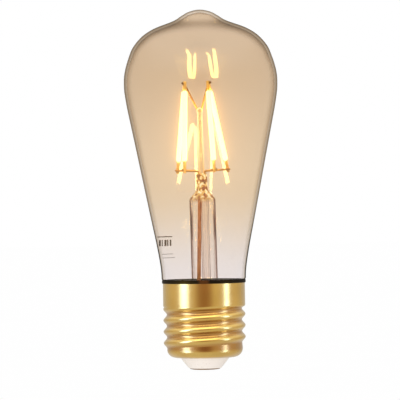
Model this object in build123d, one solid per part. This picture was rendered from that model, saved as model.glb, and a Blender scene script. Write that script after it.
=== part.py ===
from build123d import *

import os
from math import cos, radians, sin

# Filament-style smart lamp with a screw cap.
# Millimetres. The origin is the middle of the centre contact's flat face, +Z runs up the
# lamp's axis towards the tip of the glass, and the lamp is seen from -Y.

# --- driving dimensions: screw cap -------------------------------------------------------
cap_rim_z = 27.7  # top edge of the plain collar
collar_bottom_z = 20.4  # where the collar meets the thread
shell_bottom_z = 3.9  # lower edge of the metal shell
thread_crest_r = 13.15  # E27: major diameter 26.3
thread_root_r = 12.05  # E27: minor diameter 24.1
thread_pitch = 3.629  # E27: seven threads per inch
thread_first_crest_z = 6.8  # height of the lowest crest on the +X side
thread_ridge_half_width = 1.35
thread_start_deg = 20.0  # the thread runs out just behind the +X side
shell_wall = 0.35
shell_lip_r = 7.85  # edge of the shell's turned-in base
shell_base = (9.7, shell_bottom_z)  # where the turned-in base starts to round upwards
shell_knee = (11.2, 4.6)
shell_round_z = 6.2  # top of the rounded base
contact_r = 4.9
contact_flat_r = 3.4
contact_dome = 0.45
shank_r = 1.45  # rivet shank of the centre contact
shank_top_z = 6.9
insulator_top_z = 6.3
insulator_flange_r = 10.7

# --- driving dimensions: glass -----------------------------------------------------------
overall_height = 115.3
glass_wall = 0.9
neck_r = 12.2  # glass neck inside the collar
neck_top_z = 26.6
seal_z = 21.0  # lower edge of the sealed neck
bead_top_z = 28.85  # top of the black cement bead above the cap rim
bead_r = 13.4
cement_bottom_z = 22.0

# The outside of the glass, as curves that join smoothly end to end. Each has its points as
# radius and height, and its direction at both ends.
upright, level = (0, 0, 1), (-1, 0, 0)
taper_slope = (0.2, 0, 0.98)
nub_slope = (-0.9, 0, 0.43)
above_cap = (13.5, 29.4)
taper_foot = (15.45, 42.8)
taper_head = (23.15, 81.3)
widest = (24.6, 92.3)
nub_foot = (8.0, 111.95)
envelope_parts = [
    ([(neck_r, neck_top_z), (12.6, 27.9), above_cap], upright, upright),
    ([above_cap, (13.85, 33.8), taper_foot], upright, taper_slope),
    ([taper_foot, taper_head], taper_slope, taper_slope),
    ([taper_head, (24.45, 88.9), widest], taper_slope, upright),
    ([widest, (22.35, 101.8), (15.2, 109.1), nub_foot], upright, nub_slope),
    ([nub_foot, (5.9, 113.3), (3.5, 114.6), (0, overall_height)], nub_slope, level),
]

# --- driving dimensions: the mount, which is the stem and all that it carries -------------
mount_lean = 0.82  # degrees that the mount leans towards -X
mount_shift = 0.45  # offset of the mount along +X at the seal
stem_r = 4.15
stem_wall = 0.8
flare_r = 11.7
flare_top_z = 28.2
stem_shoulder_z = 54.3
press_bottom_z = 57.8
press_top_z = 63.0
press_thick = 3.5  # across X
press_wide = 7.4  # across Y
press_corner_r = 1.4
exhaust_r = 1.3
exhaust_bore_r = 0.85
exhaust_x = 0.6
exhaust_tip_z = 19.3
exhaust_top_z = 56.6
exhaust_hole_r = 0.45
post_r = 0.9
post_foot_z = 61.0
post_top_z = 82.9
bead_ball_r = 1.1
wire_r = 0.3

hook_top_z = 92.0
support_rise_z = 63.5
support_tip_z = 64.0
support_reach = 10.4
hook_reach = {"left": 4.6, "right": 3.1}
hook_tip_reach = 1.0  # from a hook's elbow out to its tip
hook_azimuth = {"left": 189.0, "right": -17.4}
# Filament number: azimuth of its lower support, the hook that it hangs from, and the side
# of the hook that it is welded to.
filament_layout = {
    1: (233.8, "left", 1),
    2: (144.1, "left", -1),
    3: (-62.5, "right", -1),
    4: (27.8, "right", 1),
}
support_foot_x = 1.0  # where the supports leave the pressed glass
support_foot_y = 2.3

filament_glow_length = 22.8
filament_glow_r = 0.8
filament_glow_start = 3.1  # from the lower weld to the coat
substrate_thick = 0.4
substrate_wide = 0.8
substrate_bare = 0.4  # bare substrate at each end of the coat
tab_thick = 0.3
tab_wide = 0.95
tab_overrun = 1.0  # length of tab beyond its weld

lead_bottom_z = 10.3
lead_flare_z = 22.0
lead_top_z = 59.6
lead_bend_r = 1.0
# Lead name: its place on the driver board, and its place in the pressed glass.
lead_layout = {
    "live": ((-2.5, -0.6), (-0.9, -1.9)),
    "return": ((-1.9, 1.7), (-0.3, 2.0)),
}

# --- driving dimensions: driver and radio in the cap --------------------------------------
board_r = 10.6
board_bottom_z = 8.8
board_thick = 1.0
sleeve_r = 11.4
sleeve_wall = 0.5
sleeve_bottom_z = 6.8
sleeve_top_z = 19.0
can_r, can_height, can_place = 3.2, 7.6, (-5.6, 3.4)
can_edge_r, can_groove_r, can_groove_z = 0.4, 0.35, 1.4
choke_r, choke_height, choke_flange, choke_place = 2.7, 5.0, 0.8, (5.4, 4.4)
film_size, film_place = (5.0, 2.4, 5.2), (0.0, -7.4)
bridge_size, bridge_place = (4.0, 3.6, 1.6), (5.6, -5.3)
resistor_r, resistor_height, resistor_place = 1.1, 5.4, (-6.6, -5.2)
chip_size, chip_place = (4.9, 3.9, 1.4), (0.0, 4.2)
radio_size, radio_y = (12.0, 0.8, 7.6), -2.6
radio_shield_size = (6.0, 1.4, 4.2)
radio_shield_x, radio_shield_rise = -1.5, 0.8
antenna_wide, antenna_thick, antenna_step = 0.5, 0.12, 1.1
antenna_folds, antenna_height, antenna_below_edge = 8, 1.6, 2.2
small_gap = 0.1

board_top_z = board_bottom_z + board_thick
sleeve_inner_r = sleeve_r - sleeve_wall
FLOOR = (Align.CENTER, Align.CENTER, Align.MIN)
CEILING = (Align.CENTER, Align.CENTER, Align.MAX)

# Places a piece that was modelled on the mount's own upright axis.
mount_place = Pos(mount_shift, 0, seal_z) * Rot(0, -mount_lean, 0) * Pos(0, 0, -seal_z)


def on_xz(points):
    """Radius and height pairs as points in the XZ plane."""
    return [Vector(r, 0, z) for r, z in points]


def turned(outline):
    """Solid of revolution about Z of a closed outline in the XZ plane."""
    return revolve(make_face(outline), axis=Axis.Z)


def turned_polygon(points):
    """Solid of revolution about Z of a closed polygon of radius and height pairs."""
    return turned(Polyline(*on_xz(points), close=True))


def polar(reach, azimuth, z):
    """The point at this reach and azimuth from the mount's axis."""
    return Vector(reach * cos(radians(azimuth)), reach * sin(radians(azimuth)), z)


def sideways(azimuth):
    """The level unit vector at a right angle to this azimuth."""
    return Vector(-sin(radians(azimuth)), cos(radians(azimuth)), 0)


def round_wire(points, radius, bend):
    """Round wire along the points, with its corners bent to a radius."""
    path = FilletPolyline(*points, radius=bend)
    section = Plane(origin=path @ 0, z_dir=path % 0) * Circle(radius)
    return sweep(section, path=path)


def straight_wire(start, end, radius):
    """Round wire between two points."""
    along = Plane(origin=start, z_dir=end - start)
    return along * Cylinder(radius, (end - start).length, align=FLOOR)


# --- glass envelope ----------------------------------------------------------------------
def envelope_curves():
    """The outside of the glass, from the neck to the tip."""
    return [
        Spline(*on_xz(points), tangents=[start, end]) for points, start, end in envelope_parts
    ]


def inset_curve(curve, depth, steps=12):
    """A curve at this depth inside another."""
    points = []
    for step in range(steps + 1):
        along = curve % (step / steps)
        points.append(curve @ (step / steps) + Vector(-along.Z, 0, along.X) * depth)
    return Spline(*points, tangents=[curve % 0, curve % 1])


def glass_envelope():
    outside = envelope_curves()
    inside = [inset_curve(curve, glass_wall) for curve in outside]
    outer_foot = Vector(neck_r, 0, seal_z)
    inner_foot = Vector(neck_r - glass_wall, 0, seal_z)
    ends = [
        Line(outer_foot, outside[0] @ 0),
        Line(outside[-1] @ 1, inside[-1] @ 1),
        Line(inside[0] @ 0, inner_foot),
        Line(inner_foot, outer_foot),
    ]
    return turned(outside + inside + ends)


# --- mount: stem, exhaust tube, post, hooks, supports and leads ---------------------------
def flare_body(tube_r, rim_r, top_z):
    """The filled inside or outside of the stem, from its flared rim to the top of the tube."""
    flare = Spline(
        Vector(rim_r, 0, seal_z),
        Vector(tube_r, 0, flare_top_z),
        tangents=[(-0.8, 0, 0.6), (0, 0, 1)],
    )
    outline = [
        flare,
        Line(flare @ 1, (tube_r, 0, top_z)),
        Line((tube_r, 0, top_z), (0, 0, top_z)),
        Line((0, 0, top_z), (0, 0, seal_z)),
        Line((0, 0, seal_z), flare @ 0),
    ]
    return turned(outline)


def stem_head():
    """Pressed glass on a shoulder that narrows from the round tube."""
    round_end = Plane.XY.offset(stem_shoulder_z) * Circle(stem_r)
    flat_shape = RectangleRounded(press_thick, press_wide, press_corner_r)
    flat_end = Plane.XY.offset(press_bottom_z) * flat_shape
    shoulder = loft([round_end, flat_end])
    press = extrude(flat_end, press_top_z - press_bottom_z)
    return shoulder + press


def flared_stem():
    outside = flare_body(stem_r, flare_r, stem_shoulder_z) + stem_head()
    inside = flare_body(stem_r - stem_wall, flare_r - stem_wall, stem_shoulder_z)
    exhaust_hole = straight_wire(
        Vector(exhaust_x, 0, exhaust_top_z - exhaust_hole_r),
        Vector(stem_r, 0, exhaust_top_z - exhaust_hole_r),
        exhaust_hole_r,
    )
    stem = outside - inside - exhaust_hole - exhaust_tube(0) - centre_post()
    for name in lead_layout:
        stem = stem - lead_wire(name)
    for number in filament_layout:
        stem = stem - lower_support(number)
    return stem


def exhaust_tube(bore_r=exhaust_bore_r):
    """Tube that the lamp was pumped and filled through, drawn to a closed tip at its foot."""
    height = exhaust_top_z - exhaust_tip_z
    tube = Pos(exhaust_x, 0, exhaust_tip_z) * Cylinder(exhaust_r, height, align=FLOOR)
    tube = fillet(tube.edges().sort_by(Axis.Z)[0], exhaust_r * 0.9)
    if bore_r:
        bore_z = exhaust_tip_z + 2 * exhaust_r
        bore_height = exhaust_top_z - 2 * exhaust_hole_r - bore_z
        tube = tube - Pos(exhaust_x, 0, bore_z) * Cylinder(bore_r, bore_height, align=FLOOR)
    return tube


def centre_post():
    """Glass rod with a melted ball that holds both hooks."""
    rod = Pos(0, 0, post_foot_z) * Cylinder(post_r, post_top_z - post_foot_z, align=FLOOR)
    return rod + Pos(0, 0, post_top_z) * Sphere(bead_ball_r)


def hook_points(side):
    """From the middle of the post's ball to the bent tip."""
    reach = hook_reach[side]
    azimuth = hook_azimuth[side]
    root = polar(wire_r + small_gap, azimuth, post_top_z - wire_r)
    elbow = polar(reach, azimuth, hook_top_z - 2 * wire_r)
    tip = polar(reach + hook_tip_reach, azimuth, hook_top_z)
    return [root, elbow, tip]


def top_hook(side):
    return round_wire(hook_points(side), wire_r, 2 * wire_r)


def support_foot(number):
    """Where a lower support stands in the pressed glass."""
    azimuth = filament_layout[number][0]
    side_x = support_foot_x if cos(radians(azimuth)) > 0 else -support_foot_x
    side_y = support_foot_y if sin(radians(azimuth)) > 0 else -support_foot_y
    return side_x, side_y


def lower_support(number):
    """Wire that stands in the pressed glass and bends out level to a filament's foot."""
    foot_x, foot_y = support_foot(number)
    points = [
        Vector(foot_x, foot_y, post_foot_z),
        Vector(foot_x, foot_y, support_rise_z),
        polar(support_reach, filament_layout[number][0], support_tip_z),
    ]
    return round_wire(points, wire_r, 2 * wire_r)


def lead_wire(name):
    """Copper lead from the driver board, up inside the stem and into the pressed glass."""
    low, high = lead_layout[name]
    points = [
        Vector(*low, lead_bottom_z),
        Vector(*low, lead_flare_z),
        Vector(*high, lead_top_z),
    ]
    return round_wire(points, wire_r, lead_bend_r)


# --- filaments ---------------------------------------------------------------------------
def filament_plane(number):
    """Plane at a filament's lower weld, with Z up the filament and X through its thickness."""
    azimuth, hook, side = filament_layout[number]
    beside = wire_r + tab_thick / 2 + small_gap / 2
    low = polar(support_reach - 2 * wire_r, azimuth, support_tip_z)
    low = low + sideways(azimuth) * beside * side
    high = hook_points(hook)[1] + sideways(hook_azimuth[hook]) * beside * side
    thickness = sideways(azimuth) + sideways(hook_azimuth[hook])
    along = (high - low).normalized()
    thickness = thickness - along * thickness.dot(along)
    return Plane(origin=low, x_dir=thickness, z_dir=along), (high - low).length


def filament_bar(thick, wide, start, end):
    """Straight strip along a filament between two distances from its lower weld."""
    return Pos(0, 0, start) * Box(thick, wide, end - start, align=FLOOR)


def filament_pieces(number):
    """Substrate, glowing coat and two end tabs of one filament."""
    plane, length = filament_plane(number)
    glow_end = filament_glow_start + filament_glow_length
    bare_start = filament_glow_start - substrate_bare
    bare_end = glow_end + substrate_bare
    substrate = filament_bar(substrate_thick, substrate_wide, bare_start, bare_end)
    coat = Pos(0, 0, filament_glow_start) * Cylinder(
        filament_glow_r, filament_glow_length, align=FLOOR
    )
    coat = fillet(coat.edges().filter_by(GeomType.CIRCLE), filament_glow_r * 0.4)
    wires = plane.location.inverse() * (
        lower_support(number) + top_hook(filament_layout[number][1])
    )
    bottom_tab = filament_bar(tab_thick, tab_wide, -tab_overrun, bare_start)
    top_tab = filament_bar(tab_thick, tab_wide, bare_end, length + tab_overrun)
    return {
        "substrate": plane * substrate,
        "phosphor": plane * (coat - substrate),
        "bottom_tab": plane * (bottom_tab - wires),
        "top_tab": plane * (top_tab - wires),
    }


# --- screw cap ---------------------------------------------------------------------------
def thread_ridge():
    """Rounded right-hand ridge, rolled up the shell until it reaches the collar."""
    start_z = thread_first_crest_z + thread_pitch * thread_start_deg / 360
    height = collar_bottom_z - thread_ridge_half_width - start_z
    path = Helix(pitch=thread_pitch, height=height, radius=thread_root_r)
    foot = thread_root_r - shell_wall / 2
    low = Vector(foot, 0, -thread_ridge_half_width)
    high = Vector(foot, 0, thread_ridge_half_width)
    profile = [ThreePointArc(low, (thread_crest_r, 0, 0), high), Line(high, low)]
    ridge = sweep(make_face(profile), path=path, is_frenet=True)
    return Pos(0, 0, start_z) * Rot(0, 0, thread_start_deg) * ridge


def cap_shell():
    """Thin metal shell: turned-in base, threaded wall, and a wider plain collar."""
    outside = [
        (shell_lip_r, shell_bottom_z),
        shell_base,
        shell_knee,
        (thread_root_r, shell_round_z),
        (thread_root_r, collar_bottom_z - shell_wall),
        (thread_crest_r, collar_bottom_z),
        (thread_crest_r, cap_rim_z),
    ]
    inside = [
        (thread_crest_r - shell_wall, cap_rim_z),
        (thread_crest_r - shell_wall, collar_bottom_z + shell_wall),
        (thread_root_r - shell_wall, collar_bottom_z),
        (thread_root_r - shell_wall, shell_round_z + shell_wall / 4),
        (shell_knee[0] - shell_wall * 0.7, shell_knee[1] + shell_wall * 0.7),
        (shell_base[0] - shell_wall / 4, shell_base[1] + shell_wall),
        (shell_lip_r, shell_bottom_z + shell_wall),
    ]
    return turned_polygon(outside + inside) + thread_ridge()


def cap_insulator():
    """White glass button that carries the centre contact and fills the shell's base."""
    base_z = shell_bottom_z + shell_wall + small_gap
    slope_z = insulator_top_z - base_z
    points = [
        (shank_r, contact_dome),
        (contact_r + 0.15, contact_dome),
        (shell_lip_r - small_gap, shell_bottom_z),
        (shell_lip_r - small_gap, base_z),
        (insulator_flange_r - slope_z * 0.9, base_z),
        (insulator_flange_r, insulator_top_z),
        (shank_r, insulator_top_z),
    ]
    return turned_polygon(points)


def centre_contact():
    """Rivet contact: a shallow dome with a flat middle and a bored shank."""
    dome = Spline(
        Vector(contact_flat_r, 0, 0),
        Vector(contact_r, 0, contact_dome),
        tangents=[(1, 0, 0), (0.6, 0, 0.8)],
    )
    outline = [
        Line((0, 0, 0), dome @ 0),
        dome,
        Line(dome @ 1, (0, 0, contact_dome)),
        Line((0, 0, contact_dome), (0, 0, 0)),
    ]
    shank_height = shank_top_z - contact_dome
    shank = Pos(0, 0, contact_dome) * Cylinder(shank_r, shank_height, align=FLOOR)
    bore = Pos(0, 0, shank_top_z) * Cylinder(wire_r, shank_height / 2, align=CEILING)
    return turned(outline) + shank - bore


def cap_cement():
    """Black cement between the neck and the collar, with a bead above the rim."""
    collar_bore_r = thread_crest_r - shell_wall
    points = [
        (neck_r - glass_wall, cement_bottom_z),
        (collar_bore_r, cement_bottom_z),
        (collar_bore_r, cap_rim_z),
        (bead_r - small_gap, cap_rim_z),
        (bead_r, bead_top_z),
        (neck_r - glass_wall, bead_top_z),
    ]
    neck, shoulder = envelope_curves()[0], envelope_curves()[1]
    outline = [
        Line((0, 0, seal_z), (neck_r, 0, seal_z)),
        Line((neck_r, 0, seal_z), neck @ 0),
        neck,
        shoulder,
        Line(shoulder @ 1, (0, 0, (shoulder @ 1).Z)),
        Line((0, 0, (shoulder @ 1).Z), (0, 0, seal_z)),
    ]
    return turned_polygon(points) - turned(outline)


# --- driver and radio --------------------------------------------------------------------
def driver_sleeve():
    """Plastic liner that keeps the boards off the metal shell."""
    height = sleeve_top_z - sleeve_bottom_z
    tube = Cylinder(sleeve_r, height, align=FLOOR) - Cylinder(sleeve_inner_r, height, align=FLOOR)
    return Pos(0, 0, sleeve_bottom_z) * tube


def driver_board():
    board = Pos(0, 0, board_bottom_z) * Cylinder(board_r, board_thick, align=FLOOR)
    holes = Pos(0, 0, board_bottom_z) * Cylinder(wire_r, board_thick, align=FLOOR)
    for low, _ in lead_layout.values():
        holes = holes + Pos(*low, board_bottom_z) * Cylinder(wire_r, board_thick, align=FLOOR)
    return board - holes


def board_part(size, place):
    """Block that stands on the driver board."""
    return Pos(*place, board_top_z) * Box(*size, align=FLOOR)


def smoothing_capacitor():
    """Electrolytic can with a rolled groove near its foot."""
    can = Cylinder(can_r, can_height, align=FLOOR)
    can = fillet(can.edges().filter_by(GeomType.CIRCLE), can_edge_r)
    groove = Pos(0, 0, can_groove_z) * Torus(can_r + small_gap, can_groove_r)
    return Pos(*can_place, board_top_z) * (can - groove)


def choke_core():
    """Ferrite bobbin: two flanges on a slim middle."""
    points = [
        (0, 0),
        (choke_r, 0),
        (choke_r, choke_flange),
        (choke_r / 2, choke_flange),
        (choke_r / 2, choke_height - choke_flange),
        (choke_r, choke_height - choke_flange),
        (choke_r, choke_height),
        (0, choke_height),
    ]
    return Pos(*choke_place, board_top_z) * turned_polygon(points)


def choke_winding():
    height = choke_height - 2 * choke_flange
    winding = Cylinder(choke_r * 0.9, height, align=FLOOR) - Cylinder(choke_r / 2, height, align=FLOOR)
    return Pos(*choke_place, board_top_z + choke_flange) * winding


def fusible_resistor():
    """Upright wire-ended resistor, thicker at its two end caps."""
    cap_height = resistor_height / 4
    body = Cylinder(resistor_r * 0.85, resistor_height, align=FLOOR)
    end_cap = Cylinder(resistor_r, cap_height, align=FLOOR)
    body = body + end_cap + Pos(0, 0, resistor_height - cap_height) * end_cap
    return Pos(*resistor_place, board_top_z) * body


def driver_chip():
    return Pos(*chip_place, board_bottom_z) * Box(*chip_size, align=CEILING)


def radio_board():
    return board_part(radio_size, (0, radio_y))


def radio_shield():
    """Screening can on the front of the radio board."""
    wide, deep, high = radio_shield_size
    front_y = radio_y - radio_size[1] / 2 - deep / 2
    place = Pos(radio_shield_x, front_y, board_top_z + radio_shield_rise)
    return place * Box(wide, deep, high, align=FLOOR)


def radio_antenna():
    """Folded copper track along the top of the radio board."""
    front_y = radio_y - radio_size[1] / 2 - antenna_thick / 2
    base_z = board_top_z + radio_size[2] - antenna_below_edge
    track = None
    for fold in range(antenna_folds):
        x = (fold - (antenna_folds - 1) / 2) * antenna_step
        limb = Box(antenna_wide, antenna_thick, antenna_height, align=FLOOR)
        limb = Pos(x, front_y, base_z) * limb
        track = limb if track is None else track + limb
        if fold < antenna_folds - 1:
            bridge_z = base_z + (antenna_height - antenna_wide if fold % 2 else 0)
            bridge = Box(antenna_step + antenna_wide, antenna_thick, antenna_wide, align=FLOOR)
            track = track + Pos(x + antenna_step / 2, front_y, bridge_z) * bridge
    return track


def centre_wire():
    """Lead from the bored shank to the driver board."""
    foot_z = (shank_top_z + contact_dome) / 2
    return straight_wire(Vector(0, 0, foot_z), Vector(0, 0, board_bottom_z), wire_r)


def shell_wire():
    """Lead from the board, over the liner and against the inside of the shell."""
    points = [
        Vector(0, board_r - 0.8, board_top_z),
        Vector(0, board_r - 0.8, sleeve_top_z + 2 * wire_r),
        Vector(0, thread_root_r - shell_wall - small_gap / 2, sleeve_top_z + 2 * wire_r),
    ]
    return round_wire(points, wire_r, 2 * wire_r)


def mount_nodes():
    """Everything that leans with the stem."""
    nodes = {
        "flared_stem": flared_stem(),
        "exhaust_tube": exhaust_tube(),
        "top_hook_left": top_hook("left"),
        "top_hook_right": top_hook("right"),
    }
    nodes["centre_post"] = centre_post() - nodes["top_hook_left"] - nodes["top_hook_right"]
    for name in lead_layout:
        nodes[f"lead_wire_{name}"] = lead_wire(name)
    for number in filament_layout:
        nodes[f"lower_support_{number}"] = lower_support(number)
        for piece, shape in filament_pieces(number).items():
            nodes[f"filament_{number}_{piece}"] = shape
    nodes = {name: mount_place * shape for name, shape in nodes.items()}
    nodes["flared_stem"] = nodes["flared_stem"] - glass_envelope()
    return nodes


def cap_nodes():
    """The screw cap, the cement and the glass that stand on the lamp's own axis."""
    return {
        "glass_envelope": glass_envelope(),
        "cap_cement": cap_cement(),
        "cap_shell": cap_shell(),
        "cap_insulator": cap_insulator(),
        "centre_contact": centre_contact(),
        "centre_wire": centre_wire(),
        "shell_wire": shell_wire(),
    }


def driver_nodes():
    """The boards inside the cap and what they carry."""
    return {
        "driver_sleeve": driver_sleeve(),
        "driver_board": driver_board(),
        "driver_chip": driver_chip(),
        "smoothing_capacitor": smoothing_capacitor(),
        "bridge_rectifier": board_part(bridge_size, bridge_place),
        "input_capacitor": board_part(film_size, film_place),
        "choke_core": choke_core(),
        "choke_winding": choke_winding(),
        "fusible_resistor": fusible_resistor(),
        "radio_board": radio_board(),
        "radio_shield": radio_shield(),
        "radio_antenna": radio_antenna(),
    }


os.makedirs("parts", exist_ok=True)
for node, shape in {**mount_nodes(), **cap_nodes(), **driver_nodes()}.items():
    export_step(shape, f"parts/{node}.step")
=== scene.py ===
from math import atan2, cos, hypot, pi, radians, sin, tau

import bmesh
import bpy
from mathutils import Matrix, Vector


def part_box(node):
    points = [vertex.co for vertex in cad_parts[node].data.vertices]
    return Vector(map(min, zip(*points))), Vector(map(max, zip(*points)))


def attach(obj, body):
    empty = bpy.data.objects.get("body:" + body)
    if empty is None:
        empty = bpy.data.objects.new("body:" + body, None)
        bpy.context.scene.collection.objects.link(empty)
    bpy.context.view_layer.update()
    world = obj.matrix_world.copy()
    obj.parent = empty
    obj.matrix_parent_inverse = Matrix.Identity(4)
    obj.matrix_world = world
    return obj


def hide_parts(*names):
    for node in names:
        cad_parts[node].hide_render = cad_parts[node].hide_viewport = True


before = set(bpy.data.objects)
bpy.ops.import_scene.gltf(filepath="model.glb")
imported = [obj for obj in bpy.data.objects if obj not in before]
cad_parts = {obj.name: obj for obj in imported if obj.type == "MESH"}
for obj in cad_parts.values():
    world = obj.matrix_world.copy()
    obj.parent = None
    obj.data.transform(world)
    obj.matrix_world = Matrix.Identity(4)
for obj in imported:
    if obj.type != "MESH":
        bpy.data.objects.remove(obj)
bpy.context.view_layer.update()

MM = 0.001

# The lamp stands on +Z. Sizes below are millimetres, and become metres where a mesh is made.
lamp_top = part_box("glass_envelope")[1][2] / MM
neck_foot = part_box("glass_envelope")[0][2] / MM
widest_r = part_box("glass_envelope")[1][0] / MM
shell_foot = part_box("cap_shell")[0][2] / MM
rim_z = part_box("cap_shell")[1][2] / MM
crest_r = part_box("cap_shell")[1][0] / MM
bead_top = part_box("cap_cement")[1][2] / MM
bead_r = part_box("cap_cement")[1][0] / MM
insulator_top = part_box("cap_insulator")[1][2] / MM
insulator_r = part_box("cap_insulator")[1][0] / MM
contact_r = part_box("centre_contact")[1][0] / MM
shank_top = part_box("centre_contact")[1][2] / MM
press_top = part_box("flared_stem")[1][2] / MM

root_r = crest_r - 1.1
thread_pitch = 3.629
first_crest_z = 6.8
collar_foot = 20.4
thread_foot = 5.2
shell_sheet = 0.35
glass_wall = 0.9
neck_r = 12.2

# The mount leans a little from the lamp's axis, about a point on the seal.
mount_lean = radians(0.82)
mount_shift = 0.45
stem_r = 4.15
stem_wall = 0.8
stem_head_r = 3.1
stem_shoulder_z = 54.3
press_foot_z = 57.8
press_thick = 3.5
press_wide = 7.4

mark_depth = 0.02

# Heights in metres between which the clear glass turns pale amber, and then full amber.
pale_amber = (30 * MM, 62 * MM)
full_amber = (60 * MM, 104 * MM)


# --- meshes ------------------------------------------------------------------------------
def smooth_step(low, high, value):
    """0 below low, 1 above high, and smooth between them."""
    t = min(max((value - low) / (high - low), 0), 1)
    return t * t * (3 - 2 * t)


def hermite(start, end, start_way, end_way, steps):
    """Points of a smooth run between two points, without its last point."""
    run = []
    for step in range(steps):
        t = step / steps
        there = smooth_step(0, 1, t)
        leaving = t * (1 - t) ** 2
        arriving = t * t * (t - 1)
        run.append(start * (1 - there) + start_way * leaving + end * there + end_way * arriving)
    return run


def smooth_run(points, first_way, last_way, steps=8):
    """Smooth curve through radius and height points, with its direction at both ends."""
    points = [Vector(p) for p in points]
    ways = [Vector(first_way).normalized() * (points[1] - points[0]).length]
    for before, after in zip(points, points[2:]):
        ways.append((after - before) / 2)
    ways.append(Vector(last_way).normalized() * (points[-1] - points[-2]).length)
    run = []
    for index in range(len(points) - 1):
        span = (points[index + 1] - points[index]).length
        start_way = ways[index].normalized() * span
        end_way = ways[index + 1].normalized() * span
        run += hermite(points[index], points[index + 1], start_way, end_way, steps)
    return run + [points[-1]]


def joined(*runs):
    """One run from several that meet end to end."""
    whole = []
    for run in runs:
        for point in run:
            if not whole or (Vector(point) - whole[-1]).length > 1e-4:
                whole.append(Vector(point))
    return whole


def inset(run, depth):
    """A run at this depth on the left of another, which is its inside."""
    moved = []
    for index, point in enumerate(run):
        before = run[max(index - 1, 0)]
        after = run[min(index + 1, len(run) - 1)]
        way = (after - before).normalized()
        moved.append(Vector((max(point.x - way.y * depth, 0), point.y + way.x * depth)))
    moved[-1].x = 0 if run[-1].x < 1e-6 else moved[-1].x
    return moved


def spun(outline, closed=True, steps=128):
    """Bmesh of an outline of radius and height, spun about Z. It is in millimetres."""
    bm = bmesh.new()
    verts = [bm.verts.new((r, 0, z)) for r, z in outline]
    edges = [bm.edges.new(pair) for pair in zip(verts, verts[1:])]
    if closed and outline[0][0] > 1e-6 and outline[-1][0] > 1e-6:
        edges.append(bm.edges.new((verts[-1], verts[0])))
    bmesh.ops.spin(
        bm, geom=verts + edges, axis=(0, 0, 1), cent=(0, 0, 0), steps=steps, angle=tau, use_merge=True
    )
    bmesh.ops.remove_doubles(bm, verts=bm.verts, dist=1e-5)
    bmesh.ops.dissolve_degenerate(bm, edges=bm.edges, dist=1e-6)
    bmesh.ops.recalc_face_normals(bm, faces=bm.faces)
    return bm


def to_piece(bm, name, material, place=None, sharp=35):
    """Object of a bmesh that is in millimetres, with its place in its mesh."""
    bmesh.ops.transform(bm, matrix=Matrix.Scale(MM, 4), verts=bm.verts)
    if place:
        bmesh.ops.transform(bm, matrix=place, verts=bm.verts)
    mesh = bpy.data.meshes.new(name)
    bm.to_mesh(mesh)
    bm.free()
    mesh.polygons.foreach_set("use_smooth", [True] * len(mesh.polygons))
    mesh.set_sharp_from_angle(angle=radians(sharp))
    mesh.materials.append(material)
    piece = bpy.data.objects.new(name, mesh)
    bpy.context.scene.collection.objects.link(piece)
    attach(piece, "root")
    return piece


def mount_place():
    """Leans a piece of the mount with its stem."""
    seal = Vector((mount_shift * MM, 0, neck_foot * MM))
    back = Matrix.Translation((0, 0, -neck_foot * MM))
    return Matrix.Translation(seal) @ Matrix.Rotation(-mount_lean, 4, "Y") @ back


# --- materials ---------------------------------------------------------------------------
white = (1, 1, 1, 1)


def shade(red, green, blue):
    """Linear colour of a screen colour with parts of 0 to 255."""
    parts = [part / 255 for part in (red, green, blue)]
    return tuple(p / 12.92 if p < 0.04045 else ((p + 0.055) / 1.055) ** 2.4 for p in parts) + (1,)


class Value:
    """A number that varies over a surface. Arithmetic on it adds Math nodes."""

    def __init__(self, finish, socket):
        self.finish = finish
        self.socket = socket

    def math(self, operation, first, second=0.0):
        return self.finish.value("ShaderNodeMath", {0: first, 1: second}, operation=operation)

    def __add__(self, other):
        return self.math("ADD", self, other)

    def __radd__(self, other):
        return self.math("ADD", other, self)

    def __sub__(self, other):
        return self.math("SUBTRACT", self, other)

    def __rsub__(self, other):
        return self.math("SUBTRACT", other, self)

    def __mul__(self, other):
        return self.math("MULTIPLY", self, other)

    def __rmul__(self, other):
        return self.math("MULTIPLY", other, self)

    def __pow__(self, other):
        return self.math("POWER", self, other)

    def size(self):
        return self.math("ABSOLUTE", self)

    def between(self, low, high):
        """0 below low, 1 above high, and smooth between them."""
        return self.finish.value(
            "ShaderNodeMapRange",
            {"Value": self, "From Min": low, "From Max": high},
            interpolation_type="SMOOTHSTEP",
        )


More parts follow.
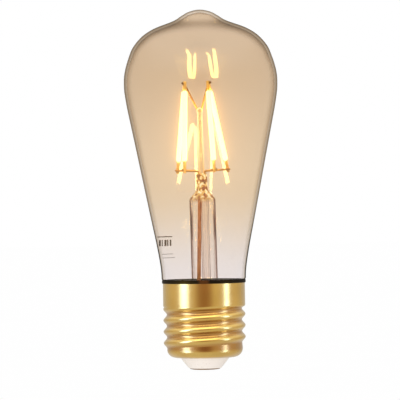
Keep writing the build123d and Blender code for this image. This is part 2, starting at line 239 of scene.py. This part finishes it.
class Finish:
    """One material, or the light of the room, whose nodes come from a single method."""

    def __init__(self, name, room=False):
        self.owner = (bpy.data.worlds if room else bpy.data.materials).new(name)
        self.owner.use_nodes = True
        self.tree = self.owner.node_tree
        self.tree.nodes.clear()
        self.out = self.node("ShaderNodeOutputWorld" if room else "ShaderNodeOutputMaterial")

    def node(self, kind, inputs=None, **settings):
        """Node of a kind, with its settings set first and then its sockets."""
        node = self.tree.nodes.new(kind)
        for name, value in settings.items():
            setattr(node, name, value)
        for key, value in (inputs or {}).items():
            socket = value.socket if isinstance(value, Value) else value
            if isinstance(socket, bpy.types.NodeSocket):
                self.tree.links.new(socket, node.inputs[key])
            else:
                node.inputs[key].default_value = socket
        return node

    def value(self, kind, inputs=None, out=0, **settings):
        return Value(self, self.node(kind, inputs, **settings).outputs[out])

    def place(self):
        """Object coordinates."""
        return self.node("ShaderNodeTexCoord").outputs["Object"]

    def parts(self, where):
        """The X, Y and Z of a place or a way."""
        split = self.node("ShaderNodeSeparateXYZ", {0: where})
        return [Value(self, split.outputs[i]) for i in range(3)]

    def noise(self, where, scale, detail=3.0, rough=0.5):
        return self.value(
            "ShaderNodeTexNoise",
            {"Vector": where, "Scale": scale, "Detail": detail, "Roughness": rough},
        )

    def colour_mix(self, factor, first, second):
        """Colour between two colours, by a value."""
        return self.node("ShaderNodeMix", {0: factor, 6: first, 7: second}, data_type="RGBA").outputs[2]

    def bump(self, height, distance, strength=1.0):
        return self.node(
            "ShaderNodeBump", {"Height": height, "Distance": distance, "Strength": strength}
        ).outputs[0]

    def shaded(self, **inputs):
        """Finish with one Principled shader. Underscores in names stand for spaces."""
        named = {key.replace("_", " "): value for key, value in inputs.items()}
        shader = self.node("ShaderNodeBsdfPrincipled", named)
        return self.ends(shader.outputs[0])

    def blend(self, factor, first, second):
        """Shader between two shaders, by a factor."""
        return self.node("ShaderNodeMixShader", {0: factor, 1: first, 2: second}).outputs[0]

    def edge(self):
        """0 where a surface is seen straight on, 1 where it is seen edge-on."""
        return self.value("ShaderNodeLayerWeight", {"Blend": 0.5}, out=1)

    def mirror(self, edge, straight_on=0.045, edge_on=0.07):
        """Share of light that glass reflects, the same from both of its sides."""
        return edge**5 * (edge_on - straight_on) + straight_on

    def clear(self, colour):
        return self.node("ShaderNodeBsdfTransparent", {"Color": colour}).outputs[0]

    def gloss(self, roughness):
        return self.node("ShaderNodeBsdfGlossy", {"Color": white, "Roughness": roughness}).outputs[0]

    def glow(self, colour, strength=1.0):
        return self.node("ShaderNodeEmission", {"Color": colour, "Strength": strength}).outputs[0]

    def to_camera(self):
        """1 for what the camera sees directly, 0 for what it sees in a reflection."""
        return self.node("ShaderNodeLightPath").outputs["Is Camera Ray"]

    def inner_side(self):
        """1 on the inside of a glass wall, 0 on its outside."""
        return self.value("ShaderNodeAttribute", attribute_name="inner_side", out=2)

    def ends(self, shader):
        self.tree.links.new(shader, self.out.inputs["Surface"])
        return self.owner


def layer(colour, layers=4):
    """Tint of one surface, when several in a row give this colour."""
    return tuple(part ** (1 / layers) for part in colour[:3]) + (1,)


def amber_glass():
    """Thin blown glass: amber above, clear near the cap. Where seen edge-on it has painted shade, in place
    of the dark things its edge would refract.
    """
    f = Finish("amber_glass")
    where = f.place()
    z = f.parts(where)[2]
    height = z + f.noise(where, 60.0, 2.0) * 0.004
    low = f.clear(layer(shade(236, 228, 228)))
    middle = f.clear(layer(shade(230, 204, 172)))
    high = f.clear(layer(shade(212, 184, 152)))
    body = f.blend(height.between(*pale_amber), low, middle)
    body = f.blend(height.between(*full_amber), body, high)

    # Painted shade: the glass turns brown where seen edge-on, then dark at its very outline, more so near
    # the neck. On the inside wall there is none, except half of it on the dome.
    edge = f.edge()
    dome = z.between(0.096, 0.106)
    outer = 1.0 - f.inner_side() * (1.0 - dome * 0.5)
    body = f.blend(edge.between(0.52, 0.95) * outer, body, f.clear((0.46, 0.38, 0.29, 1)))
    neck = 1.0 - z.between(0.032, 0.062)
    outline = (edge + neck * 0.14).between(0.88, 0.99)
    body = f.blend(outline * outer, body, f.clear(shade(70, 52, 42)))
    return f.ends(f.blend(f.mirror(edge), body, f.gloss(0.02)))


def drawn_glass(name, edge_starts=0.35, pressed=False):
    """Clear drawn tube, with painted shade where it is seen edge-on. Pressed glass has painted glints:
    noise patches that glow gold and pale white over dark brown.
    """
    f = Finish(name)
    edge = f.edge()
    body = f.clear(layer(shade(254, 247, 240)))
    # Painted shade: the tube darkens to brown where seen edge-on, much less on its inside wall.
    outline = edge.between(edge_starts, edge_starts + 0.45) * (1.0 - f.inner_side() * 0.8)
    body = f.blend(outline, body, f.clear((0.38, 0.21, 0.15, 1)))
    thin = f.blend(f.mirror(edge, 0.02, 0.02), body, f.gloss(0.03))
    if not pressed:
        return f.ends(thin)

    where = f.place()
    # Painted light: where the noise is high the pressed glass glows gold, then pale white, over dark brown
    # clear glass, with a little gloss.
    glint_noise = f.noise(where, 800.0, 2.0)
    dark = f.clear(shade(176, 104, 46))
    painted_glints = f.blend(glint_noise.between(0.42, 0.52), dark, f.glow(shade(250, 200, 112)))
    painted_glints = f.blend(glint_noise.between(0.56, 0.62), painted_glints, f.glow(shade(255, 244, 206), 1.3))
    painted_glints = f.blend(0.12, painted_glints, f.gloss(0.05))
    foot = (stem_shoulder_z - 1.0) * MM
    press = f.parts(where)[2].between(foot, foot + 0.003)
    return f.ends(f.blend(press, thin, painted_glints))


def rod_glass():
    """Solid glass rod with a painted glow along each side, where the lamp's light would gather, and painted
    shade at its very edge.
    """
    f = Finish("rod_glass")
    where = f.place()
    edge = f.edge()
    # Painted light: beside its clear middle the rod glows in streaks, warmer low down and paler higher up;
    # its very edge has painted shade.
    ripple = f.noise(where, 350.0, 2.0) * 0.2 + 0.8
    along = f.parts(where)[2].between(0.060, 0.074)
    lit = f.blend(along, f.glow(shade(236, 176, 100), 1.35), f.glow(shade(255, 244, 196), 1.35))
    body = f.blend(edge.between(0.1, 0.3) * ripple, f.clear(layer(shade(252, 236, 208), 2)), lit)
    body = f.blend(edge.between(0.7, 0.95), body, f.clear(shade(178, 124, 72)))
    return f.ends(f.blend(f.mirror(edge), body, f.gloss(0.02)))


def pale_gold():
    """Lacquered plated sheet: slight clouding, fine rolling marks and painted shade in the thread grooves.
    """
    f = Finish("pale_gold")
    where = f.place()
    x, y, z = f.parts(where)
    cloud = f.noise(where, 90.0, 4.0)
    marks = f.noise(where, 900.0, 2.0)
    radius = (x * x + y * y) ** 0.5
    # Painted shade: inside the root radius and above the base, the thread's grooves are painted darker
    # brown.
    groove = 1.0 - radius.between(root_r * MM, (root_r + 0.8) * MM)
    above_base = z.between(0.0058, 0.0070)
    painted_groove_shade = groove * above_base * 0.8
    colour = f.colour_mix(cloud.between(0.3, 0.7), shade(222, 184, 92), shade(208, 168, 74))
    colour = f.colour_mix(painted_groove_shade, colour, shade(178, 122, 40))
    return f.shaded(
        Base_Color=colour,
        Metallic=1.0,
        Roughness=cloud * 0.08 + 0.20,
        Coat_Weight=cloud * 0.2 + 0.8,
        Coat_Roughness=0.28,
        Coat_IOR=1.6,
        Normal=f.bump(marks, 0.00002, 0.25),
    )


def black_cement():
    """Baked black cement, with painted light on its bead: a browner patch in the middle, front and back, as
    if lit from the stem.
    """
    f = Finish("black_cement")
    where = f.place()
    x, y, _ = f.parts(where)
    grain = f.noise(where, 700.0, 4.0)
    radius = (x * x + y * y) ** 0.5
    bead_face = radius.between(0.0129, 0.0132)
    # Painted light: the bead is browner in a narrow band about x = 0, front and back, as if lit from the
    # stem.
    patch = (1.0 - x.size().between(0.0008, 0.0022)) * bead_face
    dark = f.colour_mix(grain, shade(12, 8, 6), shade(26, 18, 14))
    colour = f.colour_mix(patch, dark, shade(92, 54, 26))
    return f.shaded(
        Base_Color=colour,
        Roughness=grain * 0.2 + 0.45,
        Specular_IOR_Level=0.08,
        Normal=f.bump(grain, 0.00005, 0.5),
    )


def white_insulator():
    """Fused white glass with a soft gloss and a few specks."""
    f = Finish("white_insulator")
    where = f.place()
    cloud = f.noise(where, 220.0, 4.0)
    specks = f.noise(where, 1500.0, 1.0).between(0.72, 0.8)
    colour = f.colour_mix(cloud, shade(252, 249, 248), shade(246, 241, 240))
    colour = f.colour_mix(specks * 0.3, colour, shade(150, 130, 115))
    return f.shaded(Base_Color=colour, Roughness=cloud * 0.2 + 0.18, Normal=f.bump(cloud, 0.00005, 0.2))


def tinned_contact():
    """Solder-tinned brass with scuffs from a lampholder."""
    f = Finish("tinned_contact")
    scuff = f.noise(f.place(), 500.0, 5.0, 0.6)
    return f.shaded(
        Base_Color=f.colour_mix(scuff.between(0.4, 0.65), shade(150, 108, 58), shade(128, 98, 64)),
        Metallic=1.0,
        Roughness=scuff * 0.3 + 0.2,
        Normal=f.bump(scuff, 0.00008, 0.4),
    )


def wire_metal(name, bright, dull, tips=None):
    """Drawn wire with patches of oxide, and scorched ends where a colour is given for them."""
    f = Finish(name)
    where = f.place()
    patch = f.noise(where, 420.0, 4.0)
    drawn = f.noise(where, 2500.0, 1.0)
    colour = f.colour_mix(patch.between(0.35, 0.65), bright, dull)
    if tips:
        x, _, z = f.parts(where)
        outward = x.size().between(0.0088, 0.0100)
        upward = z.between(0.0835, 0.0885)
        colour = f.colour_mix(outward + upward, colour, tips)
    return f.shaded(
        Base_Color=colour,
        Metallic=0.4,
        Roughness=patch * 0.25 + 0.3,
        Normal=f.bump(drawn, 0.00002, 0.4),
    )


def glowing_phosphor():
    """Lit phosphor coat. It is dimmer to the camera than to the glass, which reflects it."""
    f = Finish("glowing_phosphor")
    beads = f.noise(f.place(), 1400.0, 2.0)
    bright = f.colour_mix(beads, (1.0, 0.84, 0.30, 1), (1.0, 0.88, 0.34, 1))
    soft = f.colour_mix(beads, (0.150, 0.130, 0.066, 1), (0.165, 0.148, 0.078, 1))
    return f.shaded(
        Base_Color=f.colour_mix(beads, shade(255, 214, 120), shade(255, 196, 90)),
        Roughness=beads * 0.2 + 0.4,
        Emission_Color=f.colour_mix(f.to_camera(), bright, soft),
        Emission_Strength=16.0,
    )


def moulded(name, base, second, scale=300.0, roughness=0.4, metal=0.0, depth=0.00005):
    """Body of a small component: two close colours and a fine grain."""
    f = Finish(name)
    grain = f.noise(f.place(), scale, 4.0)
    return f.shaded(
        Base_Color=f.colour_mix(grain.between(0.3, 0.7), base, second),
        Metallic=metal,
        Roughness=grain * 0.25 + roughness,
        Normal=f.bump(grain, depth, 0.5),
    )


def wound_copper():
    """Enamelled copper turns, one above the other."""
    f = Finish("wound_copper")
    # The wave bands follow the turns: the colour runs from dark brown between turns, which is painted
    # shade, to copper on them.
    turns = f.value("ShaderNodeTexWave", {"Vector": f.place(), "Scale": 900.0}, bands_direction="Z")
    return f.shaded(
        Base_Color=f.colour_mix(turns, shade(120, 52, 22), shade(214, 122, 66)),
        Metallic=0.8,
        Roughness=turns * 0.1 + 0.25,
        Normal=f.bump(turns, 0.0001, 0.8),
    )


# --- pieces ------------------------------------------------------------------------------
def glass_run():
    """Outside of the glass from the neck to the tip, as radius and height."""
    up, out_and_up, over = (0, 1), (0.2, 0.98), (-0.9, 0.43)
    neck = [Vector((neck_r, neck_foot)), Vector((neck_r, 26.6))]
    shoulder = smooth_run([(neck_r, 26.6), (12.6, 27.9), (13.5, 29.4)], up, up)
    flank = smooth_run([(13.5, 29.4), (13.85, 33.8), (15.45, 42.8)], up, out_and_up, 5)
    taper = smooth_run([(15.45, 42.8), (23.15, 81.3)], out_and_up, out_and_up, 10)
    belly = smooth_run([(23.15, 81.3), (24.45, 88.9), (widest_r, 92.3)], out_and_up, up, 6)
    dome = smooth_run(
        [(widest_r, 92.3), (22.35, 101.8), (19.3, 106.2), (15.2, 109.1), (8.0, 111.95)], up, over, 10
    )
    nub = smooth_run([(8.0, 111.95), (5.9, 113.3), (3.5, 114.6), (0, lamp_top)], over, (-1, 0), 7)
    return joined(neck, shoulder, flank, taper, belly, dome, nub)


def radius_at(run, height):
    """Radius of a rising run at a height."""
    for low, high in zip(run, run[1:]):
        if low.y <= height <= high.y and high.y > low.y:
            return low.x + (high.x - low.x) * (height - low.y) / (high.y - low.y)
    return run[0].x if height < run[0].y else run[-1].x


def mark_inner(bm, outside, wall):
    """Notes which points of a spun wall are on its inside, for its finish."""
    side = bm.verts.layers.float.new("inner_side")
    for vert in bm.verts:
        depth = radius_at(outside, vert.co.z) - hypot(vert.co.x, vert.co.y)
        vert[side] = 1.0 if depth > wall / 2 else 0.0


def glass_envelope(material):
    """Blown glass of even thickness, open at its neck."""
    outside = glass_run()
    inside = inset(outside, glass_wall)
    bm = spun([tuple(p) for p in outside + inside[::-1]], steps=144)
    mark_inner(bm, outside, glass_wall)
    piece = to_piece(bm, "glass_bulb", material, sharp=60)
    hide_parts("glass_envelope")


def stem_glass(material):
    """Stem tube with its flare, shoulder and pressed top, flattened from a round spin."""
    flare = smooth_run([(11.2, neck_foot), (4.6, 25.4), (stem_r, 28.2)], (-0.9, 0.45), (0, 1))
    tube = smooth_run([(stem_r, 28.2), (stem_r, stem_shoulder_z)], (0, 1), (0, 1), 12)
    head_top = (stem_head_r, press_top - 0.9)
    head = smooth_run(
        [(stem_r, stem_shoulder_z), (3.9, 55.6), (3.2, press_foot_z), head_top], (0, 1), (0, 1), 6
    )
    crown = smooth_run([head_top, (2.5, press_top - 0.2), (0, press_top)], (0, 1), (-1, 0), 4)
    outside = joined(flare, tube, head, crown)
    bore_r = stem_r - stem_wall
    hollow = smooth_run([(10.5, neck_foot), (4.0, 24.9), (bore_r, 28.2)], (-0.9, 0.45), (0, 1))
    bore = smooth_run(
        [(bore_r, 28.2), (bore_r, stem_shoulder_z - 0.4), (0, stem_shoulder_z + 1)], (0, 1), (-1, 0), 10
    )
    inside = joined(hollow, bore)
    bm = spun([tuple(p) for p in outside + inside[::-1]], steps=64)
    mark_inner(bm, outside, stem_wall)
    for vert in bm.verts:
        flat = smooth_step(stem_shoulder_z, press_foot_z, vert.co.z)
        vert.co.x *= 1 - flat * (1 - press_thick / (2 * stem_head_r))
        vert.co.y *= 1 + flat * (press_wide / (2 * stem_head_r) - 1)
    piece = to_piece(bm, "stem_glass", material, mount_place(), sharp=60)
    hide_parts("flared_stem")


def thread_rise(radius, angle, height):
    """How far the thread or the collar stands out of the thread's root, at this angle and height."""
    if radius <= root_r - 0.6:
        return 0.0
    turn = (angle % tau) / tau
    phase = (height - first_crest_z) / thread_pitch - turn
    along = round(phase) + turn
    ridge = 0.5 + 0.5 * cos(tau * phase)
    starts = smooth_step(-0.1, 0.4, along) * smooth_step(thread_foot, thread_foot + 1.4, height)
    collar = smooth_step(collar_foot - 0.9, collar_foot + 0.1, height)
    return (crest_r - root_r) * max(ridge * starts, collar)


def cap_sheet(material):
    """Thin metal shell with a rolled helical thread, a turned-in base and a plain collar."""
    wall_foot = 6.2
    base = smooth_run(
        [(7.85, shell_foot), (9.5, shell_foot + 0.02), (11.1, 4.55), (root_r, wall_foot)], (1, 0), (0, 1), 5
    )
    rows = 120
    wall = [Vector((root_r, wall_foot + (rim_z - wall_foot) * row / rows)) for row in range(rows + 1)]
    bm = spun([tuple(p) for p in joined(base, wall)], closed=False, steps=120)
    for vert in bm.verts:
        radius = hypot(vert.co.x, vert.co.y)
        rise = thread_rise(radius, atan2(vert.co.y, vert.co.x), vert.co.z)
        vert.co.xy *= (radius + rise) / radius
    outwards = sum(face.normal.dot(face.calc_center_median() * Vector((1, 1, 0))) for face in bm.faces)
    if outwards < 0:
        bmesh.ops.reverse_faces(bm, faces=bm.faces)
    bmesh.ops.solidify(bm, geom=bm.faces[:], thickness=shell_sheet)
    piece = to_piece(bm, "cap_sheet", material, sharp=50)
    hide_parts("cap_shell")
    return piece


def cement_ring(material):
    """Cement in the collar, with a rounded bead above its rim."""
    bore_r = crest_r - shell_sheet
    cement_foot = 22.0
    neck = [(neck_r, cement_foot), (neck_r, 26.6), (12.45, 27.6), (12.9, 28.4), (13.25, bead_top - 0.02)]
    bead = smooth_run(
        [(13.25, bead_top), (bead_r, bead_top - 0.25), (bead_r, rim_z + 0.15), (bead_r - 0.25, rim_z)],
        (1, 0),
        (-1, -0.2),
        4,
    )
    below = [(bore_r, rim_z), (bore_r, cement_foot)]
    outline = [tuple(p) for p in bead] + below + neck
    piece = to_piece(spun(outline, steps=112), "cement_ring", material, sharp=45)
    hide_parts("cap_cement")


def insulator_button(material):
    """Fused glass button with a rounded shoulder where the shell is pressed over it."""
    foot, bore_r = 0.45, 1.5
    cone = smooth_run([(5.0, foot), (5.4, 0.75), (7.3, 3.1), (7.72, shell_foot)], (1, 0), (0.1, 1), 6)
    flange = [(7.75, 4.35), (8.95, 4.35), (insulator_r, insulator_top)]
    bore = [(bore_r, insulator_top), (bore_r, foot)]
    outline = [tuple(p) for p in cone] + flange + bore
    piece = to_piece(spun(outline, steps=96), "insulator_button", material, sharp=40)
    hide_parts("cap_insulator")
    return piece


def contact_rivet(material):
    """Centre contact: a shallow pressed dome with a flat middle, on a hollow shank."""
    shank_r, hole_r, back = 1.45, 0.3, 0.45
    dome = smooth_run([(0, 0), (3.4, 0), (4.6, 0.18), (contact_r, 0.42)], (1, 0), (0.1, 1), 6)
    shank = [(contact_r, back), (shank_r, back), (shank_r, shank_top - 0.15), (1.3, shank_top)]
    hole = [(0.4, shank_top), (hole_r, shank_top - 0.2), (hole_r, 3.7), (0, 3.7)]
    outline = [tuple(p) for p in dome] + shank + hole
    piece = to_piece(spun(outline, steps=96), "contact_rivet", material, sharp=40)
    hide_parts("centre_contact")


def printed_mark(material):
    """Plain ratings mark on the back of the glass: a rule, a row of blocks and two fine lines."""
    outside = glass_run()
    # Left edge, width, middle height and tallness of each.
    shapes = [(-14.7, 4.7, 42.6, 0.3), (-13.4, 3.6, 37.0, 0.14), (-13.1, 3.9, 35.8, 0.14)]
    for index, width in enumerate((0.55, 0.3, 0.65, 0.4, 0.5)):
        shapes.append((-14.2 + index * 0.85, width, 40.6, 2.0))
    bm = bmesh.new()
    for left, width, middle_z, tall in shapes:
        patch = bmesh.ops.create_grid(bm, x_segments=8, y_segments=3, size=0.5)["verts"]
        for vert in patch:
            height = middle_z + vert.co.y * tall
            radius = radius_at(outside, height) + mark_depth
            across = left + (vert.co.x + 0.5) * width
            vert.co = (across, (radius**2 - across**2) ** 0.5, height)
    bmesh.ops.recalc_face_normals(bm, faces=bm.faces)
    bmesh.ops.solidify(bm, geom=bm.faces[:], thickness=-mark_depth)
    bmesh.ops.recalc_face_normals(bm, faces=bm.faces)
    to_piece(bm, "printed_mark", material)


# --- set ---------------------------------------------------------------------------------
def area_light(name, place, aim, size, power, lit, colour):
    """Soft panel that the camera doesn't see and that shines on one piece only."""
    light = bpy.data.lights.new(name, "AREA")
    light.shape = "RECTANGLE"
    light.size, light.size_y = size
    light.energy = power
    light.color = colour
    panel = bpy.data.objects.new(name, light)
    panel.location = place
    panel.rotation_euler = (Vector(aim) - Vector(place)).to_track_quat("-Z", "Y").to_euler()
    panel.visible_camera = False
    group = bpy.data.collections.new(name + "_lit")
    group.objects.link(lit)
    panel.light_linking.receiver_collection = group
    bpy.context.scene.collection.objects.link(panel)


def room_light():
    """White room for the camera, and for the lamp a softer one whose front is warm and dim."""
    f = Finish("studio_light", room=True)
    _, depth, height = f.parts(f.node("ShaderNodeTexCoord").outputs["Generated"])
    room = f.colour_mix(depth.between(-1.0, -0.86), (0.34, 0.16, 0.06, 1), (0.76, 0.66, 0.48, 1))
    room = f.colour_mix(depth.between(0.0, 0.8), room, (0.62, 0.58, 0.50, 1))
    room = f.colour_mix(height.between(0.2, 0.8), room, (1.15, 1.12, 1.05, 1))
    room = f.colour_mix(height.between(-0.7, -0.05), (0.78, 0.76, 0.74, 1), room)
    unseen = f.node("ShaderNodeBackground", {"Color": room, "Strength": 1.0}).outputs[0]
    seen = f.node("ShaderNodeBackground", {"Color": white, "Strength": 1.0}).outputs[0]
    bpy.context.scene.world = f.ends(f.blend(f.to_camera(), unseen, seen))


def panels(cap, insulator):
    """Two upright cool panels and a top one for the cap, and a low one for its insulator."""
    reach, tall, cool = 0.7, 1.1, (0.26, 0.44, 1)
    for name, azimuth, width, power in (
        ("left_panel", radians(-58), 0.30, 8.5),
        ("right_panel", radians(66), 0.16, 4.6),
    ):
        place = (reach * sin(azimuth), -reach * cos(azimuth), 0.16)
        area_light(name, place, (0, 0, 0.02), (width, tall), power, cap, cool)
    area_light("top_panel", (0, -0.2, 0.9), (0, 0, 0.05), (0.8, 0.8), 3.0, cap, white[:3])
    area_light("low_panel", (-0.1, -0.6, -0.2), (0, 0, 0), (0.6, 0.6), 1.5, insulator, white[:3])


def bloom():
    """Soft warm glow around what is much brighter than white, as in a lens."""
    bpy.context.scene.use_nodes = True
    tree = bpy.context.scene.node_tree
    tree.nodes.clear()
    layers = tree.nodes.new("CompositorNodeRLayers")
    glare = tree.nodes.new("CompositorNodeGlare")
    glare.glare_type = "BLOOM"
    glare.quality = "HIGH"
    settings = {"Threshold": 1.1, "Strength": 1.0, "Size": 0.3, "Tint": (1, 0.68, 0.17, 1)}
    for name, value in settings.items():
        glare.inputs[name].default_value = value
    picture = tree.nodes.new("CompositorNodeComposite")
    tree.links.new(layers.outputs["Image"], glare.inputs["Image"])
    tree.links.new(glare.outputs["Image"], picture.inputs["Image"])


def floor():
    """Plain white floor that only the camera sees, bright enough to run into the room."""
    f = Finish("white_floor")
    grain = f.noise(f.place(), 40.0)
    pale = f.glow(f.colour_mix(grain, white, (0.99, 0.99, 0.99, 1)))
    material = f.ends(f.blend(f.to_camera(), f.clear(white), pale))
    bm = bmesh.new()
    bmesh.ops.create_grid(bm, x_segments=8, y_segments=8, size=3.0)
    mesh = bpy.data.meshes.new("floor")
    bm.to_mesh(mesh)
    bm.free()
    mesh.materials.append(material)
    ground = bpy.data.objects.new("floor", mesh)
    ground.location.z = -0.0002
    bpy.context.scene.collection.objects.link(ground)


def camera():
    """Level long-lens view of the whole lamp, with the camera rolled by about a degree."""
    view_height, eye_height, eye_side = 0.1282, 0.0543, -0.0008
    lens, sensor = 300.0, 36.0
    roll = radians(0.93)
    distance = view_height * lens / sensor
    data = bpy.data.cameras.new("camera")
    data.lens = lens
    data.sensor_width = sensor
    eye = bpy.data.objects.new("camera", data)
    eye.location = (eye_side, -distance, eye_height)
    eye.rotation_euler = (pi / 2, roll, 0)
    bpy.context.scene.collection.objects.link(eye)
    bpy.context.scene.camera = eye


def finish_node(name, material):
    """Gives a CAD node a finish and leaves its place and mesh alone."""
    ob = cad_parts[name]
    for slot in ob.material_slots:
        slot.material = material


def finish_carried_nodes():
    """Finishes for the CAD nodes that stay, by name or by a word in the name."""
    support = wire_metal("support_wire", shade(228, 178, 98), shade(176, 122, 60), shade(96, 58, 28))
    by_node = {
        "exhaust_tube": drawn_glass("tube_glass", 0.4),
        "centre_post": rod_glass(),
        "driver_sleeve": moulded("sleeve_plastic", shade(232, 230, 222), shade(220, 216, 206)),
        "driver_board": moulded("driver_laminate", shade(34, 92, 52), shade(24, 74, 42), 500.0, 0.3),
        "radio_board": moulded("radio_laminate", shade(26, 62, 104), shade(18, 48, 86), 500.0, 0.3),
        "driver_chip": moulded("chip_epoxy", shade(34, 34, 36), shade(24, 24, 26), 900.0, 0.5),
        "bridge_rectifier": moulded("bridge_epoxy", shade(38, 38, 38), shade(26, 26, 26), 900.0, 0.5),
        "smoothing_capacitor": moulded("can_sleeve", shade(38, 40, 58), shade(30, 32, 48), 200.0, 0.25),
        "input_capacitor": moulded("dipped_film", shade(206, 150, 42), shade(190, 132, 32), 250.0, 0.2),
        "choke_core": moulded("ferrite", shade(56, 56, 58), shade(40, 40, 42), 600.0, 0.6),
        "choke_winding": wound_copper(),
        "fusible_resistor": moulded(
            "resistor_lacquer", shade(120, 158, 152), shade(100, 140, 136), 400.0, 0.3
        ),
        "radio_shield": moulded(
            "tinned_steel", shade(206, 206, 200), shade(188, 188, 182), 400.0, 0.25, metal=1.0
        ),
        "radio_antenna": moulded(
            "plated_track", shade(226, 184, 96), shade(208, 164, 80), 400.0, 0.2, metal=1.0
        ),
    }
    by_word = {
        "phosphor": glowing_phosphor(),
        "substrate": moulded("substrate", shade(240, 236, 226), shade(222, 214, 200)),
        "tab": wire_metal("tab_metal", shade(255, 226, 160), shade(236, 190, 110)),
        "support": support,
        "hook": support,
        "wire": wire_metal("copper_wire", shade(244, 172, 96), shade(212, 134, 70)),
    }
    replaced = {
        "glass_envelope", "flared_stem", "cap_shell", "cap_cement", "cap_insulator", "centre_contact",
    }
    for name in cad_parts:
        if name in by_node:
            finish_node(name, by_node[name])
        elif name not in replaced:
            word = next(word for word in by_word if word in name)
            finish_node(name, by_word[word])


def main():
    glass_envelope(amber_glass())
    stem_glass(drawn_glass("stem_glass", pressed=True))
    printed_mark(moulded("print_ink", shade(66, 44, 34), shade(92, 66, 52), 900.0, 0.5))
    cap = cap_sheet(pale_gold())
    cement_ring(black_cement())
    insulator = insulator_button(white_insulator())
    contact_rivet(tinned_contact())
    finish_carried_nodes()

    room_light()
    panels(cap, insulator)
    floor()
    camera()
    bloom()
    bpy.context.scene.view_settings.view_transform = "Standard"
    bpy.context.scene.cycles.transparent_max_bounces = 40


main()
